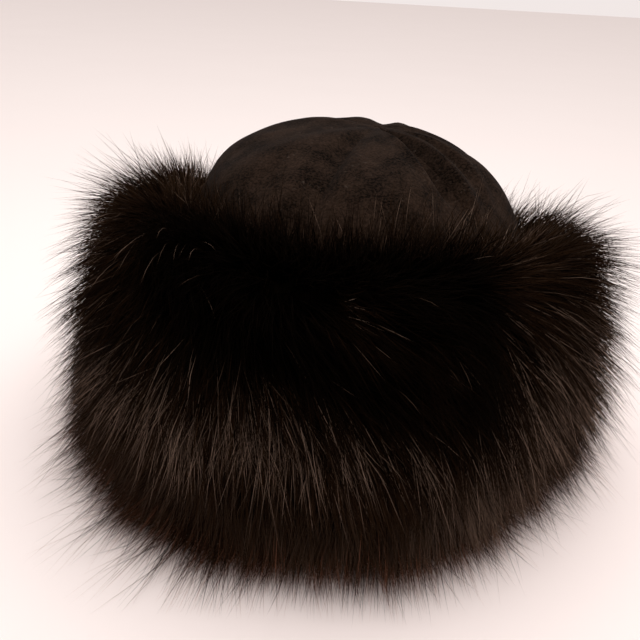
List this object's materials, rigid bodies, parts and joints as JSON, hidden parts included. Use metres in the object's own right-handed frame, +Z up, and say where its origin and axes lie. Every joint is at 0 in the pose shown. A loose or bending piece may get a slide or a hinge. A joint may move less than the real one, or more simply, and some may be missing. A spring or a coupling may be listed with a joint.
{
  "type": "roller hat",
  "caption": "Soft suede crown of pointed gores with a deep long-haired fur brim rolled up all round it, standing on its own brim.",
  "frame": {"origin": "on the surface that the hat stands on, under the middle of the whole hat's bounding box", "axes": "+Z up, -Y is the front of the hat, and +X is its wearer's left"},
  "size_m": [0.328, 0.3374, 0.1615],
  "materials": {
    "suede": "matt napped suede, very dark grey-brown",
    "fur": "long dyed fur, black-brown with a soft sheen"
  },
  "bodies": {
    "root": {"gore_front": "suede", "gore_left_front": "suede", "gore_left_back": "suede", "gore_back": "suede", "gore_right_back": "suede", "gore_right_front": "suede", "fur_brim": "fur"}
  },
  "joints": []
}
